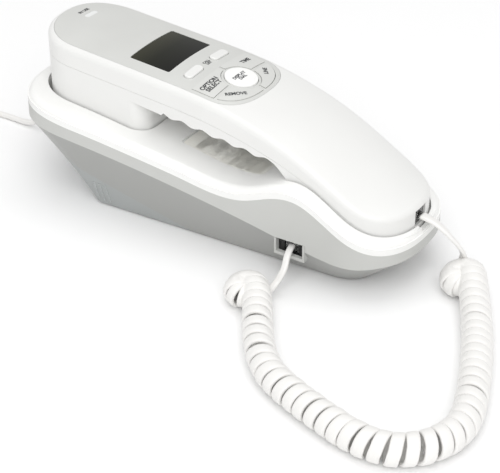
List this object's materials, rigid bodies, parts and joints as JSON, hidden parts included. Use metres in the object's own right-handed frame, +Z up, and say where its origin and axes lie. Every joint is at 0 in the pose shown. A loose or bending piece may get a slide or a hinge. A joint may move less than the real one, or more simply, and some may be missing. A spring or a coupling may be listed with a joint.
{
  "type": "slimline corded telephone",
  "caption": "Slim corded telephone: handset with display and keys lying face down in a narrow cradle base with a wedge bracket, curly handset cord and line cord.",
  "frame": {"origin": "centre of the base and handset on the desk plane, z = 0 under the rubber feet, cords left out", "axes": "+Z up; +Y along the length, from the cord end to the earpiece end; X = 0 is the plane of symmetry, -X is the side with the handset cord jack"},
  "size_m": [0.176, 0.4202, 0.0903],
  "materials": {
    "black_plastic": "satin",
    "board": "fibreglass board",
    "bracket_grey": "satin",
    "card": "printed paper card",
    "clear_cover": "clear acrylic",
    "cord_white": "soft vinyl",
    "display": "liquid crystal cell",
    "key_grey_rubber": "matte silicone",
    "key_silver": "satin silver paint on plastic",
    "key_white": "satin",
    "lamp": "milky",
    "light_grey_housing": "satin",
    "plug_clear": "clear polycarbonate",
    "rubber": "matte",
    "silver_plate": "satin silver paint on plastic",
    "steel": "zinc plated",
    "white_shell": "satin",
    "window": "clear acrylic"
  },
  "bodies": {
    "base": {"ballast_plate": "steel", "base_circuit_board": "board", "base_handset_jack": "black_plastic", "base_lower_housing": "light_grey_housing", "base_screws": "steel", "base_upper_cover": "white_shell", "desk_wall_bracket": "bracket_grey", "handset_cord_base_lead": "cord_white", "handset_cord_base_plug": "plug_clear", "handset_cord_coil": "cord_white", "handset_cord_nose_lead": "cord_white", "hook_switch_body": "black_plastic", "index_card": "card", "index_card_cover": "clear_cover", "line_cord": "cord_white", "line_cord_hank": "cord_white", "line_cord_phone_plug": "plug_clear", "line_cord_wall_plug": "plug_clear", "line_jack": "black_plastic", "ringer": "black_plastic", "rubber_feet": "rubber", "wall_tab": "white_shell"},
    "handset": {"handset_back_shell": "white_shell", "handset_inner_shell": "white_shell", "faceplate": "silver_plate", "display_lens": "window", "display_module": "display", "handset_circuit_board": "board", "receiver_capsule": "black_plastic", "receiver_gasket": "rubber", "microphone": "black_plastic", "keypad_mat": "key_grey_rubber", "handset_jack": "black_plastic", "handset_screws": "steel", "call_lamp_lens": "lamp", "handset_cord_handset_plug": "plug_clear"},
    "hook_plunger": {"hook_plunger": "white_shell"},
    "ringer_switch": {"ringer_switch": "black_plastic"},
    "key_round": {"key_round": "key_white"},
    "key_list_left": {"key_list_left": "key_silver"},
    "key_list_right": {"key_list_right": "key_silver"},
    "key_sector_rear_left": {"key_sector_rear_left": "key_silver"},
    "key_sector_front_left": {"key_sector_front_left": "key_silver"},
    "key_sector_front_right": {"key_sector_front_right": "key_silver"},
    "key_sector_rear_right": {"key_sector_rear_right": "key_silver"},
    "key_dial_0": {"key_dial_0": "key_grey_rubber"},
    "key_dial_1": {"key_dial_1": "key_grey_rubber"},
    "key_dial_2": {"key_dial_2": "key_grey_rubber"},
    "key_dial_3": {"key_dial_3": "key_grey_rubber"},
    "key_dial_4": {"key_dial_4": "key_grey_rubber"},
    "key_dial_5": {"key_dial_5": "key_grey_rubber"},
    "key_dial_6": {"key_dial_6": "key_grey_rubber"},
    "key_dial_7": {"key_dial_7": "key_grey_rubber"},
    "key_dial_8": {"key_dial_8": "key_grey_rubber"},
    "key_dial_9": {"key_dial_9": "key_grey_rubber"},
    "key_dial_hash": {"key_dial_hash": "key_grey_rubber"},
    "key_dial_star": {"key_dial_star": "key_grey_rubber"},
    "key_flash": {"key_flash": "key_grey_rubber"},
    "key_volume": {"key_volume": "key_grey_rubber"},
    "key_redial": {"key_redial": "key_grey_rubber"}
  },
  "joints": [
    {"name": "handset_lift", "type": "slide", "parent": "base", "child": "handset", "axis": [0, 0, 1], "range_m": [0, 0.08]},
    {"name": "hook_rise", "type": "slide", "parent": "base", "child": "hook_plunger", "axis": [0, 0, 1], "range_m": [0, 0.0032]},
    {"name": "ringer_select", "type": "slide", "parent": "base", "child": "ringer_switch", "axis": [0, 1, 0], "range_m": [0, 0.005]},
    {"name": "key_round_press", "type": "slide", "parent": "handset", "child": "key_round", "axis": [0, 0, -1], "range_m": [0, 0.0007], "stiffness_N_per_m": 500},
    {"name": "key_list_left_press", "type": "slide", "parent": "handset", "child": "key_list_left", "axis": [0, 0, -1], "range_m": [0, 0.0007], "stiffness_N_per_m": 500},
    {"name": "key_list_right_press", "type": "slide", "parent": "handset", "child": "key_list_right", "axis": [0, 0, -1], "range_m": [0, 0.0007], "stiffness_N_per_m": 500},
    {"name": "key_sector_rear_left_press", "type": "slide", "parent": "handset", "child": "key_sector_rear_left", "axis": [0, 0, -1], "range_m": [0, 0.0005], "stiffness_N_per_m": 500},
    {"name": "key_sector_front_left_press", "type": "slide", "parent": "handset", "child": "key_sector_front_left", "axis": [0, 0, -1], "range_m": [0, 0.0005], "stiffness_N_per_m": 500},
    {"name": "key_sector_front_right_press", "type": "slide", "parent": "handset", "child": "key_sector_front_right", "axis": [0, 0, -1], "range_m": [0, 0.0005], "stiffness_N_per_m": 500},
    {"name": "key_sector_rear_right_press", "type": "slide", "parent": "handset", "child": "key_sector_rear_right", "axis": [0, 0, -1], "range_m": [0, 0.0005], "stiffness_N_per_m": 500},
    {"name": "key_dial_0_press", "type": "slide", "parent": "handset", "child": "key_dial_0", "axis": [0, 0, 1], "range_m": [0, 0.001], "stiffness_N_per_m": 500},
    {"name": "key_dial_1_press", "type": "slide", "parent": "handset", "child": "key_dial_1", "axis": [0, 0, 1], "range_m": [0, 0.001], "stiffness_N_per_m": 500},
    {"name": "key_dial_2_press", "type": "slide", "parent": "handset", "child": "key_dial_2", "axis": [0, 0, 1], "range_m": [0, 0.001], "stiffness_N_per_m": 500},
    {"name": "key_dial_3_press", "type": "slide", "parent": "handset", "child": "key_dial_3", "axis": [0, 0, 1], "range_m": [0, 0.001], "stiffness_N_per_m": 500},
    {"name": "key_dial_4_press", "type": "slide", "parent": "handset", "child": "key_dial_4", "axis": [0, 0, 1], "range_m": [0, 0.001], "stiffness_N_per_m": 500},
    {"name": "key_dial_5_press", "type": "slide", "parent": "handset", "child": "key_dial_5", "axis": [0, 0, 1], "range_m": [0, 0.001], "stiffness_N_per_m": 500},
    {"name": "key_dial_6_press", "type": "slide", "parent": "handset", "child": "key_dial_6", "axis": [0, 0, 1], "range_m": [0, 0.001], "stiffness_N_per_m": 500},
    {"name": "key_dial_7_press", "type": "slide", "parent": "handset", "child": "key_dial_7", "axis": [0, 0, 1], "range_m": [0, 0.001], "stiffness_N_per_m": 500},
    {"name": "key_dial_8_press", "type": "slide", "parent": "handset", "child": "key_dial_8", "axis": [0, 0, 1], "range_m": [0, 0.001], "stiffness_N_per_m": 500},
    {"name": "key_dial_9_press", "type": "slide", "parent": "handset", "child": "key_dial_9", "axis": [0, 0, 1], "range_m": [0, 0.001], "stiffness_N_per_m": 500},
    {"name": "key_dial_hash_press", "type": "slide", "parent": "handset", "child": "key_dial_hash", "axis": [0, 0, 1], "range_m": [0, 0.001], "stiffness_N_per_m": 500},
    {"name": "key_dial_star_press", "type": "slide", "parent": "handset", "child": "key_dial_star", "axis": [0, 0, 1], "range_m": [0, 0.001], "stiffness_N_per_m": 500},
    {"name": "key_flash_press", "type": "slide", "parent": "handset", "child": "key_flash", "axis": [0, 0, 1], "range_m": [0, 0.001], "stiffness_N_per_m": 500},
    {"name": "key_volume_press", "type": "slide", "parent": "handset", "child": "key_volume", "axis": [0, 0, 1], "range_m": [0, 0.001], "stiffness_N_per_m": 500},
    {"name": "key_redial_press", "type": "slide", "parent": "handset", "child": "key_redial", "axis": [0, 0, 1], "range_m": [0, 0.001], "stiffness_N_per_m": 500}
  ],
  "couplings": [
    {"joint": "hook_rise", "follows": "handset_lift", "ratio": 0.04}
  ]
}
